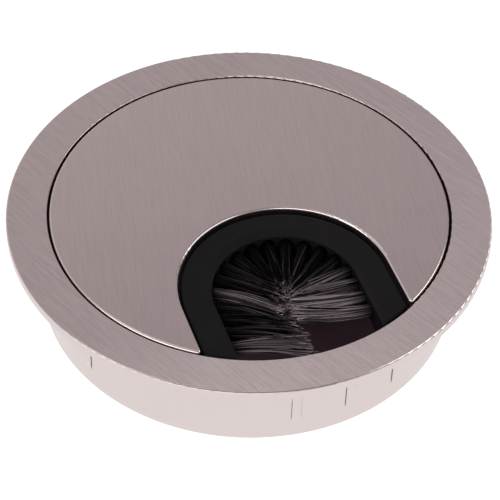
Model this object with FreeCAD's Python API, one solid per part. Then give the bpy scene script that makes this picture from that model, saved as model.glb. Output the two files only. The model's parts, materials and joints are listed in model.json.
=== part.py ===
import FreeCAD, Part
import math
import os

# Round desk grommet for an 80 mm hole, in millimetres with +Z up.
# A flanged sleeve drops into the desk. A black insert turns inside it and carries a U-shaped
# brush. A brushed metal cover sits on the insert, and the top of the brush frame fills the
# cover's cutout. The origin is the centre of the flange's underside, on the desk top, and the
# cutout opens towards -Y.

# Sleeve and flange
SLEEVE_R = 40.0
SLEEVE_DEPTH = 17.8
FLANGE_R = 46.0
FLANGE_T = 2.0
FLANGE_EDGE = 0.3
BORE_R = 38.3
BORE_EDGE = 0.2
SHOULDER_R = 36.6
SHOULDER_T = 1.6

# Grip ribs on the outside of the sleeve, in four groups of three
RIB_GROUPS = 4
RIBS_PER_GROUP = 3
RIB_PITCH_DEG = 15.0
RIB_FIRST_GROUP_DEG = -81.3
RIB_WIDTH = 1.7
RIB_HEIGHT = 0.2
RIB_SINK = 0.02
RIB_LEAD = 1.5
RIB_TOP_Z = -7.0
RIB_BOTTOM_Z = -13.6

# Cover disc and its cutout. The cutout is an arc about ARC_Y with two legs along -Y.
ARC_Y = -20.94
COVER_R = 37.9
COVER_T = 2.0
COVER_EDGE = 0.45
CUTOUT_R = 19.85
CORNER_R = 0.6
PEG_R = 1.5
PEG_LENGTH = 1.6
PEG_CIRCLE_R = 28.0
PEG_ANGLES = (45.0, 90.0, 135.0)

# Gaps between pieces that lie against each other
SEAT_GAP = 0.05
SOCKET_GAP = 0.1

# Brush carrier: a plate with a skirt, and a wall behind the brush frame
CARRIER_R = 38.2
SKIRT_R = 36.9
SKIRT_BOTTOM_Z = -9.0
PLATE_T = 1.8
WALL_R = 21.4
WALL_BOTTOM_Z = -4.05
WEB_ANGLES = (20.0, 70.0, 110.0, 160.0)
WEB_T = 1.2
WEB_BOTTOM_Z = -3.8

# Brush frame: the U-shaped moulding that shows in the cutout and holds the bristle tufts.
# Its inner face is a lip that slopes down to an upright wall, where the tufts come out. The
# lip's head is an arc set back from ARC_Y, so the lip is widest at the crown. A foot along
# the bottom keeps the frame from passing up through the carrier.
FRAME_R = 19.35
FRAME_TOP_Z = 1.0
FRAME_BOTTOM_Z = -4.0
FRAME_EDGE = 0.45
FRAME_END_R = 37.2
FRAME_END_CHAMFER = 0.5
FOOT_R = 20.2
FOOT_TOP_Z = -2.9
MOUTH_R = 13.7
LIP_R = 14.6
LIP_SHIFT = 0.8
LIP_BOTTOM_Z = 0.4

# Tufts: evenly spaced along the wall, round the arc and down both legs, a little nearer the
# end of the left leg
TUFTS = 18
TUFT_STEP_DEG = 14.75
TUFT_SHIFT_DEG = 2.5
TUFT_HOLE_R = 1.3
TUFT_HOLE_DEPTH = 4.0
TUFT_AXIS_Z = -1.4
TUFT_HEEL_R = 1.1
TUFT_HINGE_R = 13.0
TUFT_TIP_HALF_THICKNESS = 0.3
ARC_TIP_R = 1.5
ARC_TIP_HALF_WIDTH = 0.13
LEG_TIP_R = 0.3
LEG_TIP_HALF_WIDTH = 1.45
LEG_TIP_SLOPE = 0.6
ANCHOR_R = 17.2
ANCHOR_SIZE = (0.5, 2.2, 1.0)

# Retainer under the brush frame, and its self-tapping screws
RETAINER_INNER_R = 14.4
RETAINER_END_R = 36.8
RETAINER_TOP_Z = -4.1
RETAINER_T = 1.5
SCREWS = 5
SCREW_CIRCLE_R = 23.6
SCREW_STEP_DEG = 50.0
BOSS_R = 2.3
PILOT_R = 0.95
PILOT_TOP_Z = -1.2
EAR_R = 2.6
SCREW_CLEAR_R = 1.25
SCREW_R = 0.9
SCREW_TIP_Z = -1.5
SCREW_HEAD_R = 1.9
SCREW_HEAD_T = 1.2
RECESS_LENGTH = 2.2
RECESS_WIDTH = 0.5
RECESS_DEPTH = 0.7

FAR = 60.0
UP = FreeCAD.Vector(0, 0, 1)


def cylinder(radius, z_low, z_high, x=0.0, y=0.0):
    """Upright cylinder between two heights."""
    return Part.makeCylinder(radius, z_high - z_low, FreeCAD.Vector(x, y, z_low))


def slot_outline(radius, z, centre_y=ARC_Y):
    """Closed U outline: a half round of this radius, with legs running out to -Y."""
    left_top = FreeCAD.Vector(-radius, centre_y, z)
    crown = FreeCAD.Vector(0, centre_y + radius, z)
    right_top = FreeCAD.Vector(radius, centre_y, z)
    right_end = FreeCAD.Vector(radius, -FAR, z)
    left_end = FreeCAD.Vector(-radius, -FAR, z)
    return Part.Wire([
        Part.Arc(left_top, crown, right_top).toShape(),
        Part.makeLine(right_top, right_end),
        Part.makeLine(right_end, left_end),
        Part.makeLine(left_end, left_top),
    ])


def slot(radius, z_low, z_high):
    """Upright solid U about the arc centre."""
    return Part.Face(slot_outline(radius, z_low)).extrude(UP * (z_high - z_low))


def u_bar(outer_r, inner_r, end_r, z_low, z_high):
    """U-shaped bar between two radii, its legs cut off by a circle about the main axis."""
    bar = slot(outer_r, z_low, z_high).cut(slot(inner_r, z_low, z_high))
    return bar.common(cylinder(end_r, z_low, z_high))


def edges_where(shape, test):
    """Edges whose every point passes the test, judged at five places along each."""
    picked = []
    for edge in shape.Edges:
        first, last = edge.ParameterRange
        places = [edge.valueAt(first + (last - first) * step / 4.0) for step in range(5)]
        if all(test(place) for place in places):
            picked.append(edge)
    return picked


def at_height(z):
    """Test for a point that lies at this height."""
    return lambda point: abs(point.z - z) < 1e-4


def on_circle(radius, z):
    """Test for a point on a circle about the main axis."""
    return lambda point: at_height(z)(point) and abs(math.hypot(point.x, point.y) - radius) < 1e-3


def is_upright(edge):
    """True for a straight vertical edge."""
    ends = [vertex.Point for vertex in edge.Vertexes]
    return len(ends) == 2 and math.hypot(ends[0].x - ends[1].x, ends[0].y - ends[1].y) < 1e-6


def polar(radius, angle_deg, centre_y=0.0):
    """Point in plan, at an angle from +X about a centre on the Y axis."""
    angle = math.radians(angle_deg)
    return radius * math.cos(angle), centre_y + radius * math.sin(angle)


def grip_rib(angle_deg):
    """Low rib on the outside of the sleeve, ramped at both ends."""
    root_r = SLEEVE_R - RIB_SINK
    crest_r = SLEEVE_R + RIB_HEIGHT
    corners = [
        (root_r, RIB_BOTTOM_Z),
        (crest_r, RIB_BOTTOM_Z + RIB_LEAD),
        (crest_r, RIB_TOP_Z - RIB_LEAD),
        (root_r, RIB_TOP_Z),
    ]
    outline = Part.makePolygon([FreeCAD.Vector(r, 0, z) for r, z in corners + corners[:1]])
    width_deg = math.degrees(RIB_WIDTH / SLEEVE_R)
    rib = Part.Face(outline).revolve(FreeCAD.Vector(), UP, width_deg)
    rib.rotate(FreeCAD.Vector(), UP, angle_deg - width_deg / 2)
    return rib


def make_sleeve():
    """Flange and sleeve in one casting, with a shoulder inside that carries the insert."""
    shoulder_top = SKIRT_BOTTOM_Z - SEAT_GAP
    flange = cylinder(FLANGE_R, 0, FLANGE_T)
    body = flange.fuse(cylinder(SLEEVE_R, -SLEEVE_DEPTH, 0))
    body = body.cut(cylinder(BORE_R, -SLEEVE_DEPTH, FLANGE_T))
    shoulder = cylinder(BORE_R + 0.5, shoulder_top - SHOULDER_T, shoulder_top)
    body = body.fuse(shoulder.cut(cylinder(SHOULDER_R, -SLEEVE_DEPTH, 0)))
    body = body.makeFillet(BORE_EDGE, edges_where(body, on_circle(BORE_R, FLANGE_T)))
    for radius, z in ((FLANGE_R, FLANGE_T), (FLANGE_R, 0), (SLEEVE_R, -SLEEVE_DEPTH)):
        body = body.makeFillet(FLANGE_EDGE, edges_where(body, on_circle(radius, z)))
    for group in range(RIB_GROUPS):
        for rib in range(RIBS_PER_GROUP):
            offset = (rib - (RIBS_PER_GROUP - 1) / 2) * RIB_PITCH_DEG
            body = body.fuse(grip_rib(RIB_FIRST_GROUP_DEG + group * 360 / RIB_GROUPS + offset))
    return body.removeSplitter()


def make_cover():
    """Disc with a U cutout through its rim, and three pegs underneath that locate it on the insert."""
    disc = cylinder(COVER_R, 0, COVER_T).cut(slot(CUTOUT_R, -1, COVER_T + 1))
    corners = [edge for edge in disc.Edges if is_upright(edge) and edge.Vertexes[0].Point.y < ARC_Y - 1]
    disc = disc.makeFillet(CORNER_R, corners)
    disc = disc.makeFillet(COVER_EDGE, edges_where(disc, at_height(COVER_T)))
    for angle in PEG_ANGLES:
        disc = disc.fuse(cylinder(PEG_R, -PEG_LENGTH, 1, *polar(PEG_CIRCLE_R, angle)))
    return disc.removeSplitter()


def screw_places():
    """Plan positions of the screws, spread round the brush."""
    middle = (SCREWS - 1) / 2
    return [polar(SCREW_CIRCLE_R, 90 + (k - middle) * SCREW_STEP_DEG, ARC_Y) for k in range(SCREWS)]


def make_carrier():
    """Moulded insert: plate, skirt, wall behind the brush frame, webs and screw bosses."""
    plate_top = -SEAT_GAP
    body = cylinder(CARRIER_R, plate_top - PLATE_T, plate_top)
    wall = slot(WALL_R, WALL_BOTTOM_Z, plate_top)
    body = body.fuse(wall.common(cylinder(CARRIER_R, WALL_BOTTOM_Z, plate_top)))
    for angle in WEB_ANGLES:
        corner = FreeCAD.Vector(0, -WEB_T / 2, WEB_BOTTOM_Z)
        web = Part.makeBox(CARRIER_R, WEB_T, plate_top - WEB_BOTTOM_Z, corner)
        web.rotate(FreeCAD.Vector(), UP, angle)
        body = body.fuse(web.common(cylinder(CARRIER_R, WEB_BOTTOM_Z, plate_top)))
    for x, y in screw_places():
        body = body.fuse(cylinder(BOSS_R, WALL_BOTTOM_Z, plate_top, x, y))
    body = body.cut(slot(FRAME_R + SOCKET_GAP, SKIRT_BOTTOM_Z, 1))
    body = body.cut(slot(FOOT_R + SOCKET_GAP, SKIRT_BOTTOM_Z, FOOT_TOP_Z + SEAT_GAP))
    for x, y in screw_places():
        body = body.cut(cylinder(PILOT_R, WALL_BOTTOM_Z, PILOT_TOP_Z, x, y))
    for angle in PEG_ANGLES:
        body = body.cut(cylinder(PEG_R + SOCKET_GAP, -FAR, 1, *polar(PEG_CIRCLE_R, angle)))
    skirt = cylinder(CARRIER_R, SKIRT_BOTTOM_Z, plate_top - PLATE_T)
    return body.fuse(skirt.cut(cylinder(SKIRT_R, SKIRT_BOTTOM_Z, 0))).removeSplitter()


def tuft_stations():
    """Centre point in plan and outward angle of each tuft, from the left leg round to the right."""
    stations = []
    for number in range(TUFTS):
        turned = (number - (TUFTS - 1) / 2) * TUFT_STEP_DEG - TUFT_SHIFT_DEG
        down_leg = math.radians(max(abs(turned) - 90, 0)) * MOUTH_R
        outward = 90 - max(-90, min(90, turned))
        stations.append(((0.0, ARC_Y - down_leg), outward))
    return stations


def place(shape, station):
    """Put a shape drawn along +X from the tuft's centre point onto its station."""
    (x, y), angle = station
    turn = FreeCAD.Rotation(UP, angle)
    shape.Placement = FreeCAD.Placement(FreeCAD.Vector(x, y, TUFT_AXIS_Z), turn).multiply(shape.Placement)
    return shape


def make_frame():
    """Brush frame: outer edge rounded, leg ends bevelled, and a hole for each tuft."""
    above_skirt_z = -PLATE_T
    body = slot(FRAME_R, FRAME_BOTTOM_Z, FRAME_TOP_Z)
    top_edges = edges_where(body, at_height(FRAME_TOP_Z))
    body = body.makeFillet(FRAME_EDGE, [edge for edge in top_edges if edge.CenterOfMass.y > -FAR + 1])
    body = body.fuse(slot(FOOT_R, FRAME_BOTTOM_Z, FOOT_TOP_Z))
    body = body.cut(slot(MOUTH_R, FRAME_BOTTOM_Z, FRAME_TOP_Z))
    lip_foot = slot_outline(MOUTH_R, LIP_BOTTOM_Z)
    lip_head = slot_outline(LIP_R, FRAME_TOP_Z, ARC_Y + LIP_SHIFT)
    body = body.cut(Part.makeLoft([lip_foot, lip_head], True, True))
    bevel = cylinder(FRAME_END_R, above_skirt_z, FRAME_TOP_Z)
    bevel = bevel.makeChamfer(FRAME_END_CHAMFER, edges_where(bevel, on_circle(FRAME_END_R, FRAME_TOP_Z)))
    body = body.common(bevel.fuse(cylinder(RETAINER_END_R, FRAME_BOTTOM_Z, above_skirt_z)))
    start = FreeCAD.Vector(MOUTH_R - 1, 0, 0)
    for station in tuft_stations():
        hole = Part.makeCylinder(TUFT_HOLE_R, TUFT_HOLE_DEPTH + 1, start, FreeCAD.Vector(1, 0, 0))
        body = body.cut(place(hole, station))
    return body.removeSplitter()


def make_anchors():
    """Small metal plates that hold the folded bristles at the bottom of each hole."""
    depth, width, height = ANCHOR_SIZE
    corner = FreeCAD.Vector(ANCHOR_R - depth / 2, -width / 2, -height / 2)
    return Part.makeCompound([place(Part.makeBox(depth, width, height, corner), station)
                              for station in tuft_stations()])


def oval(x, half_width, half_thickness):
    """Closed oval across the X axis, with its width along Y and its thickness along Z."""
    stretch = FreeCAD.Matrix()
    stretch.scale(1, half_width, half_thickness)
    ring = Part.Circle(FreeCAD.Vector(), FreeCAD.Vector(1, 0, 0), 1).toShape().transformGeometry(stretch)
    ring.translate(FreeCAD.Vector(x, 0, 0))
    return Part.Wire(ring)


def make_tuft(station):
    """Free length of one tuft: a round heel at the mouth of its hole, tapering to a flat tip."""
    down_leg = ARC_Y - station[0][1]
    if down_leg > 0:
        half_width = min(LEG_TIP_HALF_WIDTH, LEG_TIP_SLOPE * down_leg)
        tip = oval(LEG_TIP_R, half_width, TUFT_TIP_HALF_THICKNESS)
    else:
        tip = oval(ARC_TIP_R, ARC_TIP_HALF_WIDTH, TUFT_TIP_HALF_THICKNESS)
    taper = Part.makeLoft([oval(TUFT_HINGE_R, TUFT_HEEL_R, TUFT_HEEL_R), tip], True)
    heel = Part.makeSphere(TUFT_HEEL_R, FreeCAD.Vector(TUFT_HINGE_R, 0, 0))
    return place(taper.fuse(heel), station)


def make_retainer():
    """Thin U frame with ears that holds the brush frame up in the carrier."""
    low = RETAINER_TOP_Z - RETAINER_T
    frame = u_bar(WALL_R, RETAINER_INNER_R, RETAINER_END_R, low, RETAINER_TOP_Z)
    for x, y in screw_places():
        frame = frame.fuse(cylinder(EAR_R, low, RETAINER_TOP_Z, x, y))
    frame = frame.common(cylinder(RETAINER_END_R, low, RETAINER_TOP_Z))
    for x, y in screw_places():
        frame = frame.cut(cylinder(SCREW_CLEAR_R, low, RETAINER_TOP_Z, x, y))
    return frame.removeSplitter()


def make_screws():
    """Pan-head self-tapping screws, drawn with plain shanks and a cross recess."""
    seat = RETAINER_TOP_Z - RETAINER_T
    low = seat - SCREW_HEAD_T
    screws = []
    for x, y in screw_places():
        screw = cylinder(SCREW_HEAD_R, low, seat, x, y)
        screw = screw.makeFillet(SCREW_HEAD_T / 3, edges_where(screw, at_height(low)))
        screw = screw.fuse(cylinder(SCREW_R, seat, SCREW_TIP_Z, x, y))
        for length, width in ((RECESS_LENGTH, RECESS_WIDTH), (RECESS_WIDTH, RECESS_LENGTH)):
            corner = FreeCAD.Vector(x - length / 2, y - width / 2, low)
            screw = screw.cut(Part.makeBox(length, width, RECESS_DEPTH, corner))
        screws.append(screw)
    return Part.makeCompound(screws)


def main():
    nodes = {
        "sleeve": make_sleeve(),
        "cover": make_cover(),
        "brush_carrier": make_carrier(),
        "brush_frame": make_frame(),
        "brush_retainer": make_retainer(),
        "retainer_screws": make_screws(),
        "tuft_anchors": make_anchors(),
    }
    for number, station in enumerate(tuft_stations(), start=1):
        nodes[f"tuft_{number:02d}"] = make_tuft(station)
    os.makedirs("parts", exist_ok=True)
    for name, shape in nodes.items():
        print(f"{name}: {len(shape.Solids)} solid(s), {shape.Volume:.1f} mm3, valid {shape.isValid()}")
        shape.exportStep(f"parts/{name}.step")


main()
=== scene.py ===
"""Looks of the round desk grommet: brushed nickel sleeve and cover, black insert, brush of fine bristles."""
import json
import math

import bpy
import numpy as np
from mathutils import Matrix, Vector


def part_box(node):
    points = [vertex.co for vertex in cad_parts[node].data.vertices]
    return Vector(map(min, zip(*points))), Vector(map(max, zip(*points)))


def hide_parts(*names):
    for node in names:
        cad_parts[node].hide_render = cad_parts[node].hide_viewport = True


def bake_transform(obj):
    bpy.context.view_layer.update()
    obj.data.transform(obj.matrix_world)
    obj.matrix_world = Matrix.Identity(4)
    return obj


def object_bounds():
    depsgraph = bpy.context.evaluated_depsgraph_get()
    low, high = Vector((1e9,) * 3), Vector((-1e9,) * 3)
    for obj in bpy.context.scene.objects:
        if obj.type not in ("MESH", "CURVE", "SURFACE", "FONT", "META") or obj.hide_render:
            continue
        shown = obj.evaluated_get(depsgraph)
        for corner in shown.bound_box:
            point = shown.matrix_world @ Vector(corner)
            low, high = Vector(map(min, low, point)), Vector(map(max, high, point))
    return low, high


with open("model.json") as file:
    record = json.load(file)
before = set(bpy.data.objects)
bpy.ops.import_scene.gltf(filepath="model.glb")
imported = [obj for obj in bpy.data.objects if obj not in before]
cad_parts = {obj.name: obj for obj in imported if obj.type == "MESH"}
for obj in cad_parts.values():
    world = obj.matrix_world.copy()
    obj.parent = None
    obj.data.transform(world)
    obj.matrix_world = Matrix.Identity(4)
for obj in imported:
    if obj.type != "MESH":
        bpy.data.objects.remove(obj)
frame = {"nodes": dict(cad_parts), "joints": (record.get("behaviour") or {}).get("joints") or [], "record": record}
cad_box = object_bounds()

MM = 0.001

# Brushing directions in plan, from +X
FLANGE_BRUSH_DEG = -65.0
COVER_BRUSH_DEG = -100.0

# Metal. Noise scales are per metre: along the lines, across them, and up.
NICKEL = (0.80, 0.715, 0.700)
ZINC = (0.62, 0.63, 0.60)
FINE_LINES = (300, 6000, 300)
COARSE_LINES = (100, 2000, 100)
FINE_SHARE = 0.55
FLANGE_LINE_CONTRAST = 0.09
COVER_LINE_CONTRAST = 0.04
BRUSHED_FACING = (0.90, 0.995)
BRUSHED_ROUGHNESS = 0.26
BRUSHED_ANISOTROPY = 0.9
SATIN_ROUGHNESS = 0.24
SATIN_DEPTH = 0.002 * MM
GROOVE_DEPTH = 0.15 * MM
# Painted shade beside ribs and in inner corners: how far it reaches and how dark it gets.
PAINTED_CORNER_SHADE_REACH = 0.25 * MM
PAINTED_CORNER_SHADE = 0.35

# Moulded plastic
PLASTIC = (0.0100, 0.0098, 0.0099)
PLASTIC_SPECULAR = 0.12
PLASTIC_GRAIN_DEPTH = 0.006 * MM

# Most of a noise texture's values lie between these.
NOISE_SPAN = (0.3, 0.7)

# Bristles. A tuft is as wide as its hole at the mouth. Those of the arc close up towards their tips, and
# those of the legs fan out.
BRISTLES_PER_TUFT = 150
BRISTLE_R = 0.095 * MM
BRISTLE_TIP_R = 0.065 * MM
BRISTLE_R_SPREAD = (0.85, 1.15)
BRISTLE_SIDES = 5
BRISTLE_RINGS = 12
TUFT_R = 1.15 * MM
MOUTH_BEHIND_HINGE = 0.8 * MM
ROOT_BEHIND_HINGE = 3.4 * MM
ARC_TIP_HALF_WIDTH = 0.25 * MM
LEG_TIP_HALF_WIDTH = 2.0 * MM
LEG_DROOP = 0.3 * MM
ARC_SHORT = 1.0 * MM
TIP_FLATTENING = 0.2

# How the tufts of the legs are pushed along them, at the tips: towards the arc on one leg and away from
# it on the other. Both change with the distance down the leg, and the second leg also fans out more.
LEG_SHARE_POWER = 10
PUSH_TO_ARC = 0.9 * MM
PUSH_FROM_ARC = 6.0 * MM
PUSH_DOWN_LEG = 0.33
FAN_DOWN_LEG = 0.1
PUSH_CURVE = 1.6

# Scatter of single bristles, in millimetres
LENGTH_SCATTER = 0.6
SIDE_SCATTER = 0.4
LIFT_SCATTER = 0.6
BOW_SIDE_SCATTER = 0.2
BOW_UP = 0.05
BOW_UP_SCATTER = 0.18

# Nylon. Lightness multiplies the colour. How much painted sheen, light caught by the bristles and painted into
# their colour, each tuft gets is set by its number, and goes with the tuft when the insert turns; the tufts that
# aren't listed are nearly black.
NYLON = (0.0125, 0.0105, 0.0112)
DARK_LIGHTNESS = 0.12
PAINTED_SHEEN_LIGHTNESS = 42.0
CUT_END_GLINT_LIGHTNESS = 50.0
PAINTED_SHEEN_TUFTS = {1: 0.85, 5: 0.75, 14: 0.3, 15: 0.65, 16: 0.85, 17: 0.85, 18: 0.75}
PAINTED_SHEEN_REST = 0.22
PAINTED_SHEEN_RARITY = 1.5
# Painted shade on the roots: the sheen fades in over this share of a bristle from the mouth of the hole, less far
# in tufts with more sheen.
PAINTED_ROOT_SHADE_LENGTH = 0.8
PAINTED_ROOT_SHADE_SHORTER = 0.6
# Painted glints on some cut ends: from how far out along the bristle, and how rare.
CUT_END_FROM = 0.96
CUT_END_GLINT_RARITY = 4

# Studio. Levels are radiances; Z is the sine of the elevation. The walls are dimmer higher up. A wide
# soft box stands on each side of the camera, and a small one hangs high behind the object, in line
# with the flange's grooves, where only the near part of the flange mirrors it.
WALL_Z = (0.60, 0.80)
WALL_LEVELS = (0.46, 0.31)
WALL_SIDE_LEAN = 0.5
WALL_TONE = (1.0, 0.90, 0.925, 1.0)
BELOW_LEVEL = 0.8
HORIZON_BLEND = 0.02
SOFTBOXES = {
    "softbox_left": {"turn_deg": -30, "elevation_deg": 30, "width": 1.8, "height": 0.4, "level": 1.9},
    "softbox_right": {"turn_deg": 88, "elevation_deg": 32, "width": 1.2, "height": 0.4, "level": 1.9},
    "softbox_high": {"turn_deg": -135, "elevation_deg": 68, "width": 0.4, "height": 0.2, "level": 1.6},
}
BOX_DISTANCE = 1.0
FLOOR_HALF = 2.0
FLOOR_COLOUR = (0.20, 0.20, 0.20, 1.0)
FLOOR_GLOW = 0.75
# Under the sleeve the floor doesn't glow; its pink-purple colour is a painted shade tint.
UNDER_SLEEVE_SHADE_TINT = (0.57, 0.36, 0.47, 1.0)
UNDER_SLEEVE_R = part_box("brush_carrier")[1][0] + 1.0 * MM

# Camera: where the flange's top centre is seen from
CAMERA_DISTANCE = 0.36456
CAMERA_ELEVATION_DEG = 44.326
CAMERA_AZIMUTH_DEG = -110.26
CAMERA_PAN_DEG = -0.056
CAMERA_TILT_DEG = 1.265
CAMERA_ROLL_DEG = 1.866
CAMERA_LENS_MM = 138.4


# ---------------------------------------------------------------- node helpers

def new_material(name):
    """Empty node material with a Principled shader wired to its output."""
    material = bpy.data.materials.new(name)
    material.use_nodes = True
    tree = material.node_tree
    tree.nodes.clear()
    output = tree.nodes.new("ShaderNodeOutputMaterial")
    shader = tree.nodes.new("ShaderNodeBsdfPrincipled")
    tree.links.new(shader.outputs[0], output.inputs["Surface"])
    return material, tree, shader


def node(tree, kind, **values):
    """Adds a node and sets its properties; inputs are set later by name or link."""
    made = tree.nodes.new(kind)
    for key, value in values.items():
        setattr(made, key, value)
    return made


def maths(tree, operation, first, second):
    """Math node on two values or sockets; returns its output."""
    made = node(tree, "ShaderNodeMath", operation=operation)
    for socket, value in zip(made.inputs, (first, second)):
        if isinstance(value, (int, float)):
            socket.default_value = value
        else:
            tree.links.new(value, socket)
    return made.outputs[0]


def map_range(tree, value, low, high, to_low, to_high):
    """Smooth remap of a socket from one range to another."""
    made = node(tree, "ShaderNodeMapRange", interpolation_type="SMOOTHSTEP")
    tree.links.new(value, made.inputs["Value"])
    for key, number in (("From Min", low), ("From Max", high), ("To Min", to_low), ("To Max", to_high)):
        made.inputs[key].default_value = number
    return made.outputs["Result"]


def object_coordinates(tree, angle_deg=0.0, scale=(1.0, 1.0, 1.0)):
    """Object coordinates turned about Z, then scaled, so that noise can be drawn out along one direction."""
    place = node(tree, "ShaderNodeTexCoord")
    turn = node(tree, "ShaderNodeMapping")
    turn.inputs["Rotation"].default_value = (0.0, 0.0, -math.radians(angle_deg))
    stretch = node(tree, "ShaderNodeMapping")
    stretch.inputs["Scale"].default_value = scale
    tree.links.new(place.outputs["Object"], turn.inputs["Vector"])
    tree.links.new(turn.outputs[0], stretch.inputs["Vector"])
    return stretch.outputs[0]


def noise(tree, vector, scale=1.0, detail=2.0, roughness=0.5):
    """Noise texture value on a vector socket."""
    made = node(tree, "ShaderNodeTexNoise")
    made.inputs["Scale"].default_value = scale
    made.inputs["Detail"].default_value = detail
    made.inputs["Roughness"].default_value = roughness
    tree.links.new(vector, made.inputs["Vector"])
    return made.outputs["Fac"]


def vary(tree, value, low, high):
    """Spreads the values of a noise over a range."""
    return map_range(tree, value, *NOISE_SPAN, low, high)


def bump(tree, height, distance, normal=None):
    """Bump node at full strength; distance in metres."""
    made = node(tree, "ShaderNodeBump")
    made.inputs["Strength"].default_value = 1.0
    made.inputs["Distance"].default_value = distance
    tree.links.new(height, made.inputs["Height"])
    if normal is not None:
        tree.links.new(normal, made.inputs["Normal"])
    return made.outputs[0]


def tint(tree, colour, value):
    """A colour scaled by a value socket."""
    made = node(tree, "ShaderNodeVectorMath", operation="SCALE")
    made.inputs[0].default_value = colour
    tree.links.new(value, made.inputs["Scale"])
    return made.outputs[0]


def blend_colours(tree, share, first, second):
    """Mix of two colours by a value socket."""
    made = node(tree, "ShaderNodeMix", data_type="RGBA")
    tree.links.new(share, made.inputs["Factor"])
    colours = [socket for socket in made.inputs if socket.type == "RGBA"]
    colours[0].default_value = first
    colours[1].default_value = second
    return next(socket for socket in made.outputs if socket.type == "RGBA")


# ---------------------------------------------------------------- materials

def brush_lines(tree, angle_deg):
    """Noise drawn out along the brushing direction: fine lines over coarse ones."""
    fine = noise(tree, object_coordinates(tree, angle_deg, FINE_LINES), roughness=0.6)
    coarse = noise(tree, object_coordinates(tree, angle_deg, COARSE_LINES))
    return maths(tree, "ADD", maths(tree, "MULTIPLY", fine, FINE_SHARE),
                 maths(tree, "MULTIPLY", coarse, 1.0 - FINE_SHARE))


def painted_corner_shade(tree):
    """Painted shade: darker close beside ribs and in other inner corners, where shadow falls."""
    corners = node(tree, "ShaderNodeAmbientOcclusion", samples=8, only_local=True)
    corners.inputs["Distance"].default_value = PAINTED_CORNER_SHADE_REACH
    return map_range(tree, corners.outputs["AO"], 0.5, 1.0, PAINTED_CORNER_SHADE, 1.0)


def groove_tangent(tree, angle_deg):
    """Direction across the grooves, because a groove spreads the light sideways."""
    across = math.radians(angle_deg + 90)
    vector = node(tree, "ShaderNodeCombineXYZ")
    vector.inputs[0].default_value = math.cos(across)
    vector.inputs[1].default_value = math.sin(across)
    world = node(tree, "ShaderNodeVectorTransform", vector_type="VECTOR",
                 convert_from="OBJECT", convert_to="WORLD")
    tree.links.new(vector.outputs[0], world.inputs[0])
    return world.outputs[0]


def brushed_nickel(name, angle_deg, line_contrast):
    """Satin nickel, brushed in straight lines on faces that look up and plain satin on the sides."""
    material, tree, shader = new_material(name)
    geometry = node(tree, "ShaderNodeNewGeometry")
    split = node(tree, "ShaderNodeSeparateXYZ")
    tree.links.new(geometry.outputs["Normal"], split.inputs[0])
    facing_up = map_range(tree, split.outputs["Z"], *BRUSHED_FACING, 0.0, 1.0)
    plain = maths(tree, "SUBTRACT", 1.0, facing_up)
    lines = brush_lines(tree, angle_deg)

    shade = vary(tree, lines, 1.0 - line_contrast, 1.0 + line_contrast)
    cloud = noise(tree, object_coordinates(tree), 60.0)
    shade = maths(tree, "MULTIPLY", shade, vary(tree, cloud, 0.99, 1.01))
    shade = maths(tree, "ADD", maths(tree, "MULTIPLY", shade, facing_up), plain)
    # Painted shade in inner corners darkens the colour.
    shade = maths(tree, "MULTIPLY", shade, painted_corner_shade(tree))
    tree.links.new(tint(tree, NICKEL, shade), shader.inputs["Base Color"])

    roughness = maths(tree, "ADD", maths(tree, "MULTIPLY", facing_up, BRUSHED_ROUGHNESS),
                      maths(tree, "MULTIPLY", plain, SATIN_ROUGHNESS))
    tree.links.new(roughness, shader.inputs["Roughness"])
    shader.inputs["Metallic"].default_value = 1.0
    tree.links.new(maths(tree, "MULTIPLY", facing_up, BRUSHED_ANISOTROPY), shader.inputs["Anisotropic"])
    tree.links.new(groove_tangent(tree, angle_deg), shader.inputs["Tangent"])

    grooves = bump(tree, maths(tree, "MULTIPLY", lines, facing_up), GROOVE_DEPTH * line_contrast)
    grain = noise(tree, object_coordinates(tree), 2500.0)
    satin = maths(tree, "MULTIPLY", grain, plain)
    tree.links.new(bump(tree, satin, SATIN_DEPTH, grooves), shader.inputs["Normal"])
    return material


def black_plastic(name):
    """Moulded black plastic with a fine satin grain."""
    material, tree, shader = new_material(name)
    grain = noise(tree, object_coordinates(tree), 5200.0, 3.0, 0.6)
    cloud = noise(tree, object_coordinates(tree), 110.0)
    tree.links.new(tint(tree, PLASTIC, vary(tree, cloud, 0.9, 1.1)), shader.inputs["Base Color"])
    tree.links.new(vary(tree, cloud, 0.42, 0.5), shader.inputs["Roughness"])
    shader.inputs["Specular IOR Level"].default_value = PLASTIC_SPECULAR
    tree.links.new(bump(tree, grain, PLASTIC_GRAIN_DEPTH), shader.inputs["Normal"])
    return material


def bristle_nylon(name):
    """Dark glossy nylon: most bristles nearly black, some glossier with a painted sheen, and here and there a cut
    end with a painted glint.
    """
    material, tree, shader = new_material(name)
    sheen = node(tree, "ShaderNodeAttribute", attribute_name="bristle_sheen").outputs["Fac"]
    end_glint = node(tree, "ShaderNodeAttribute", attribute_name="bristle_end_glint").outputs["Fac"]
    # Painted sheen lightens the colour of some bristles; the same value makes them glossier.
    lightness = maths(tree, "ADD", DARK_LIGHTNESS, maths(tree, "MULTIPLY", sheen, PAINTED_SHEEN_LIGHTNESS))
    # Painted glints lighten the colour at some cut ends.
    lightness = maths(tree, "ADD", lightness, maths(tree, "MULTIPLY", end_glint, CUT_END_GLINT_LIGHTNESS))
    tree.links.new(tint(tree, NYLON, lightness), shader.inputs["Base Color"])
    tree.links.new(map_range(tree, sheen, 0.0, 1.0, 0.36, 0.22), shader.inputs["Roughness"])
    tree.links.new(maths(tree, "ADD", 0.05, sheen), shader.inputs["Specular IOR Level"])
    return material


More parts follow.
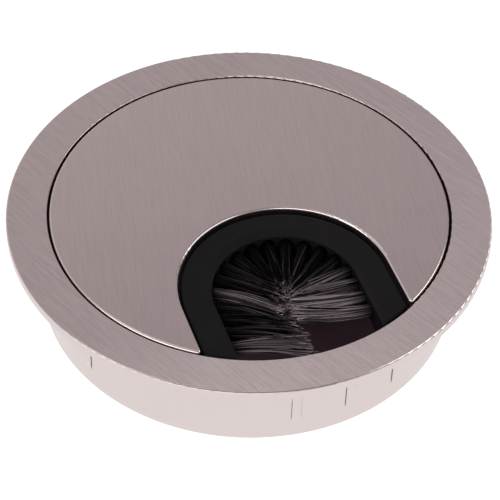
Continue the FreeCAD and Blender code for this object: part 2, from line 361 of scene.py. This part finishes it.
def zinc_steel(name):
    """Bright zinc-plated steel of the screws and anchor plates."""
    material, tree, shader = new_material(name)
    cloud = noise(tree, object_coordinates(tree), 900.0, 3.0, 0.6)
    tree.links.new(tint(tree, ZINC, vary(tree, cloud, 0.85, 1.1)), shader.inputs["Base Color"])
    tree.links.new(vary(tree, cloud, 0.22, 0.38), shader.inputs["Roughness"])
    shader.inputs["Metallic"].default_value = 1.0
    return material


def dress(names, material):
    """Gives the CAD nodes one material in every slot."""
    for name in names:
        mesh = frame["nodes"][name].data
        mesh.materials.clear()
        mesh.materials.append(material)


# ---------------------------------------------------------------- bristles

def tuft_hinge(tuft):
    """The joint that turns a tuft, as (free body, hinge point, inward direction, sideways direction)."""
    for joint in frame["joints"]:
        members = frame["record"]["behaviour"]["bodies"][joint["child"]]
        if members == [tuft]:
            sideways = Vector(joint["axis"]).normalized()
            inward = sideways.cross(Vector((0, 0, 1)))
            return joint["child"], Vector(joint["pos_m"]), inward, sideways
    raise ValueError(f"no joint turns {tuft}")


def brush_centre(tufts):
    """How far the hinges stand from the middle of the brush, and where the arc's centre is along Y."""
    reach = abs(tuft_hinge(tufts[0])[1].x)
    _, hinge, inward, _ = tuft_hinge(tufts[len(tufts) // 2])
    return reach, hinge.y + inward.y * reach


def tuft_lie(inward, down_leg):
    """How a tuft lies, as (share of a leg tuft's lie, shift of its tips towards the arc, half width there).

    The tufts of one leg are pushed towards the arc, and those of the other away from it."""
    on_leg = abs(inward.x) ** LEG_SHARE_POWER
    half_width = ARC_TIP_HALF_WIDTH + (LEG_TIP_HALF_WIDTH - ARC_TIP_HALF_WIDTH) * on_leg
    if inward.x < 0:
        return on_leg, on_leg * (PUSH_TO_ARC + PUSH_DOWN_LEG * down_leg), half_width
    half_width += FAN_DOWN_LEG * max(down_leg, 0)
    return on_leg, on_leg * (PUSH_DOWN_LEG * down_leg - PUSH_FROM_ARC), half_width


def bristle_path(rng, to_centre, on_leg, shift, tip_half_width):
    """Centre line of one bristle as (inward, sideways, up) offsets from the hinge, ring by ring.

    Also returns how far out each ring is, from 0 at the mouth of the hole to 1 at the tip."""
    turn = rng.uniform(0, 2 * math.pi)
    spread = math.sqrt(rng.uniform(0, 1))
    short = ARC_SHORT - ARC_SHORT * on_leg
    reach = math.sqrt(to_centre ** 2 - shift ** 2) - short + rng.normal(0, LENGTH_SCATTER) * MM
    inward = np.linspace(-ROOT_BEHIND_HINGE, reach, BRISTLE_RINGS)
    free = np.clip((inward + MOUTH_BEHIND_HINGE) / (reach + MOUTH_BEHIND_HINGE), 0, 1)
    half_width = TUFT_R + (tip_half_width - TUFT_R) * free
    side = spread * math.cos(turn) * half_width + shift * free ** PUSH_CURVE
    side += rng.normal(0, SIDE_SCATTER) * MM * free ** 2
    up = spread * math.sin(turn) * TUFT_R * (1 - TIP_FLATTENING * free)
    up += (1 - on_leg) * abs(rng.normal(0, LIFT_SCATTER)) * MM * free ** 4 - on_leg * LEG_DROOP * free
    bow = np.sin(math.pi * free) * free
    side += rng.normal(0, BOW_SIDE_SCATTER) * MM * bow
    up += rng.normal(BOW_UP, BOW_UP_SCATTER) * MM * bow
    return np.stack([inward, side, up], axis=1), free


def tube_rings(path, radii):
    """Rings of points round a path given as (inward, sideways, up) rows."""
    angles = np.arange(BRISTLE_SIDES) * 2 * math.pi / BRISTLE_SIDES
    around = np.stack([np.zeros(BRISTLE_SIDES), np.cos(angles), np.sin(angles)], axis=1)
    return path[:, None, :] + radii[:, None, None] * around[None, :, :]


def tube_faces(first):
    """Side quads and end caps of one tube whose points start at this index."""
    faces = []
    for ring in range(BRISTLE_RINGS - 1):
        low = first + ring * BRISTLE_SIDES
        for side in range(BRISTLE_SIDES):
            after = (side + 1) % BRISTLE_SIDES
            faces.append((low + side, low + after, low + BRISTLE_SIDES + after, low + BRISTLE_SIDES + side))
    last = first + (BRISTLE_RINGS - 1) * BRISTLE_SIDES
    faces.append(tuple(first + side for side in reversed(range(BRISTLE_SIDES))))
    faces.append(tuple(last + side for side in range(BRISTLE_SIDES)))
    return faces


def painted_sheen_along(rng, strongest_sheen, free):
    """Painted sheen along one bristle. In a tuft with more sheen more bristles get it, and from nearer the mouth;
    towards the mouth it fades out, as painted shade.
    """
    root_shade_length = PAINTED_ROOT_SHADE_LENGTH - PAINTED_ROOT_SHADE_SHORTER * strongest_sheen
    # Painted shade: the sheen fades out towards the mouth, where the hole shades the roots.
    return strongest_sheen * rng.uniform(0, 1) ** (PAINTED_SHEEN_RARITY / strongest_sheen) * np.clip(free / root_shade_length, 0, 1)


def tuft_number(name):
    """The number at the end of a tuft's name, or None for any other piece."""
    number = name.removeprefix("tuft_")
    return int(number) if number.isdigit() else None


def bristle_mesh(tuft, points, faces, attributes, material):
    """Smooth mesh of one tuft's bristles, with a value at each point for each attribute."""
    mesh = bpy.data.meshes.new(f"{tuft}_bristles")
    mesh.from_pydata([tuple(point) for point in points], [], faces)
    mesh.polygons.foreach_set("use_smooth", [True] * len(mesh.polygons))
    for name, values in attributes.items():
        mesh.attributes.new(name, "FLOAT", "POINT").data.foreach_set("value", values)
    mesh.materials.append(material)
    return mesh


def make_tuft(tuft, seed, reach, arc_y, material):
    """Bristles of one tuft in place of its CAD solid, leaving the hole at its mouth."""
    body, hinge, inward, sideways = tuft_hinge(tuft)
    on_leg, shift, tip_half_width = tuft_lie(inward, arc_y - hinge.y)
    shift *= math.copysign(1, sideways.y)
    strongest_sheen = PAINTED_SHEEN_TUFTS.get(tuft_number(tuft), PAINTED_SHEEN_REST)
    rng = np.random.default_rng(seed)
    basis = np.array([inward, sideways, (0, 0, 1)])
    radii = np.linspace(BRISTLE_R, BRISTLE_TIP_R, BRISTLE_RINGS)
    points, faces, sheens, end_glints = [], [], [], []
    for _ in range(BRISTLES_PER_TUFT):
        path, free = bristle_path(rng, reach, on_leg, shift, tip_half_width)
        rings = tube_rings(path, radii * rng.uniform(*BRISTLE_R_SPREAD))
        faces += tube_faces(len(points) * BRISTLE_RINGS * BRISTLE_SIDES)
        points.append(rings.reshape(-1, 3))
        # Painted sheen along this bristle.
        sheen = painted_sheen_along(rng, strongest_sheen, free)
        sheens += list(np.repeat(sheen, BRISTLE_SIDES))
        # Painted glint on some cut ends.
        end_glint = (free > CUT_END_FROM) * rng.uniform(0, 1) ** CUT_END_GLINT_RARITY
        end_glints += list(np.repeat(end_glint, BRISTLE_SIDES))
    world = np.array(hinge) + np.concatenate(points) @ basis
    attributes = {"bristle_sheen": sheens, "bristle_end_glint": end_glints}
    piece = bpy.data.objects.new(f"{tuft}_bristles", bristle_mesh(tuft, world, faces, attributes, material))
    bpy.context.scene.collection.objects.link(piece)
    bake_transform(piece)
    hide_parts(tuft)


# ---------------------------------------------------------------- studio

def direction(azimuth_deg, elevation_deg):
    """Unit vector from an azimuth in plan and an elevation."""
    azimuth = math.radians(azimuth_deg)
    elevation = math.radians(elevation_deg)
    return Vector((math.cos(azimuth) * math.cos(elevation), math.sin(azimuth) * math.cos(elevation),
                   math.sin(elevation)))


def floor_material():
    """White that glows evenly outside the sleeve, dark under it, and nothing at all from below."""
    material, tree, shader = new_material("floor_white")
    place = node(tree, "ShaderNodeTexCoord")
    flat = node(tree, "ShaderNodeVectorMath", operation="MULTIPLY")
    flat.inputs[1].default_value = (1, 1, 0)
    from_axis = node(tree, "ShaderNodeVectorMath", operation="LENGTH")
    tree.links.new(place.outputs["Object"], flat.inputs[0])
    tree.links.new(flat.outputs[0], from_axis.inputs[0])
    outside = maths(tree, "GREATER_THAN", from_axis.outputs["Value"], UNDER_SLEEVE_R)
    # Under the sleeve the floor has no glow, so real shade falls there; its pink-purple colour is a painted shade
    # tint.
    tree.links.new(blend_colours(tree, outside, UNDER_SLEEVE_SHADE_TINT, FLOOR_COLOUR), shader.inputs["Base Color"])
    shader.inputs["Roughness"].default_value = 0.9
    shader.inputs["Specular IOR Level"].default_value = 0.1

    # The glow keeps shadows off the floor. The camera sees it at full strength, and the metal a little less.
    seen = node(tree, "ShaderNodeLightPath").outputs["Is Camera Ray"]
    glow = maths(tree, "ADD", FLOOR_GLOW, maths(tree, "MULTIPLY", seen, 1.0 - FLOOR_GLOW))
    tree.links.new(maths(tree, "MULTIPLY", glow, outside), shader.inputs["Emission Strength"])
    shader.inputs["Emission Color"].default_value = (1, 1, 1, 1)

    # Seen from below the floor isn't there, so that the underside shows.
    see_through = node(tree, "ShaderNodeMixShader")
    tree.links.new(node(tree, "ShaderNodeNewGeometry").outputs["Backfacing"], see_through.inputs["Fac"])
    tree.links.new(shader.outputs[0], see_through.inputs[1])
    tree.links.new(node(tree, "ShaderNodeBsdfTransparent").outputs[0], see_through.inputs[2])
    tree.links.new(see_through.outputs[0], tree.nodes["Material Output"].inputs["Surface"])
    return material


def make_floor():
    """Floor at the foot of the sleeve; under the sleeve it doesn't glow, so real shade falls there, and its
    pink-purple colour is a painted shade tint.
    """
    foot = cad_box[0][2]
    corners = [(x * FLOOR_HALF, y * FLOOR_HALF, foot) for x, y in ((-1, -1), (1, -1), (1, 1), (-1, 1))]
    mesh = bpy.data.meshes.new("floor")
    mesh.from_pydata(corners, [], [(0, 1, 2, 3)])
    mesh.materials.append(floor_material())
    floor = bpy.data.objects.new("floor", mesh)
    bpy.context.scene.collection.objects.link(floor)


def make_world():
    """Soft studio surroundings: faintly pink walls, dimmer to one side and higher up, and bright below."""
    world = bpy.data.worlds.new("studio")
    bpy.context.scene.world = world
    world.use_nodes = True
    tree = world.node_tree
    tree.nodes.clear()
    output = tree.nodes.new("ShaderNodeOutputWorld")
    background = tree.nodes.new("ShaderNodeBackground")
    place = node(tree, "ShaderNodeTexCoord")
    split = node(tree, "ShaderNodeSeparateXYZ")
    tree.links.new(place.outputs["Generated"], split.inputs[0])
    wall = map_range(tree, split.outputs["Z"], *WALL_Z, *WALL_LEVELS)
    side = node(tree, "ShaderNodeVectorMath", operation="DOT_PRODUCT")
    side.inputs[1].default_value = direction(CAMERA_AZIMUTH_DEG - 90, 0.0)
    tree.links.new(place.outputs["Generated"], side.inputs[0])
    lean = maths(tree, "ADD", 1.0, maths(tree, "MULTIPLY", side.outputs["Value"], WALL_SIDE_LEAN))
    below = map_range(tree, split.outputs["Z"], -HORIZON_BLEND, 0.0, BELOW_LEVEL, 0.0)
    level = maths(tree, "ADD", maths(tree, "MULTIPLY", wall, lean), below)
    tree.links.new(level, background.inputs["Strength"])
    background.inputs["Color"].default_value = WALL_TONE
    tree.links.new(background.outputs[0], output.inputs["Surface"])


def softbox(name, turn_deg, elevation_deg, width, height, level):
    """Soft box aimed at the object, at an angle from the camera and with a face this bright."""
    light = bpy.data.lights.new(name, "AREA")
    light.shape = "RECTANGLE"
    light.size = width
    light.size_y = height
    light.energy = level * math.pi * width * height
    lamp = bpy.data.objects.new(name, light)
    lamp.location = direction(CAMERA_AZIMUTH_DEG + turn_deg, elevation_deg) * BOX_DISTANCE
    lamp.rotation_euler = (-lamp.location).to_track_quat("-Z", "Y").to_euler()
    bpy.context.scene.collection.objects.link(lamp)


def make_camera():
    """Camera above the object, set by its distance and angles about the flange's top centre."""
    back = direction(CAMERA_AZIMUTH_DEG, CAMERA_ELEVATION_DEG)
    right = Vector((0, 0, 1)).cross(back).normalized()
    up = back.cross(right)
    basis = Matrix((right, up, back)).transposed()
    turns = (Matrix.Rotation(math.radians(CAMERA_PAN_DEG), 3, "Y")
             @ Matrix.Rotation(-math.radians(CAMERA_TILT_DEG), 3, "X")
             @ Matrix.Rotation(math.radians(CAMERA_ROLL_DEG), 3, "Z"))
    camera_data = bpy.data.cameras.new("camera")
    camera_data.lens = CAMERA_LENS_MM
    camera_data.clip_start = 0.01
    camera = bpy.data.objects.new("camera", camera_data)
    target = Vector((0, 0, cad_box[1][2]))
    camera.matrix_world = Matrix.Translation(target + back * CAMERA_DISTANCE) @ (basis @ turns).to_4x4()
    bpy.context.scene.collection.objects.link(camera)
    bpy.context.scene.camera = camera


# ---------------------------------------------------------------- build

plastic = black_plastic("black_plastic")
dress(["sleeve"], brushed_nickel("flange_nickel", FLANGE_BRUSH_DEG, FLANGE_LINE_CONTRAST))
dress(["cover"], brushed_nickel("cover_nickel", COVER_BRUSH_DEG, COVER_LINE_CONTRAST))
dress(["brush_carrier", "brush_frame", "brush_retainer"], plastic)
dress(["retainer_screws", "tuft_anchors"], zinc_steel("zinc_steel"))

nylon = bristle_nylon("bristle_nylon")
tufts = sorted(name for name in frame["nodes"] if tuft_number(name) is not None)
dress(tufts, nylon)
reach, arc_y = brush_centre(tufts)
for seed, tuft in enumerate(tufts):
    make_tuft(tuft, seed, reach, arc_y, nylon)

make_floor()
make_world()
for name, settings in SOFTBOXES.items():
    softbox(name, **settings)
make_camera()
bpy.context.scene.view_settings.view_transform = "Standard"
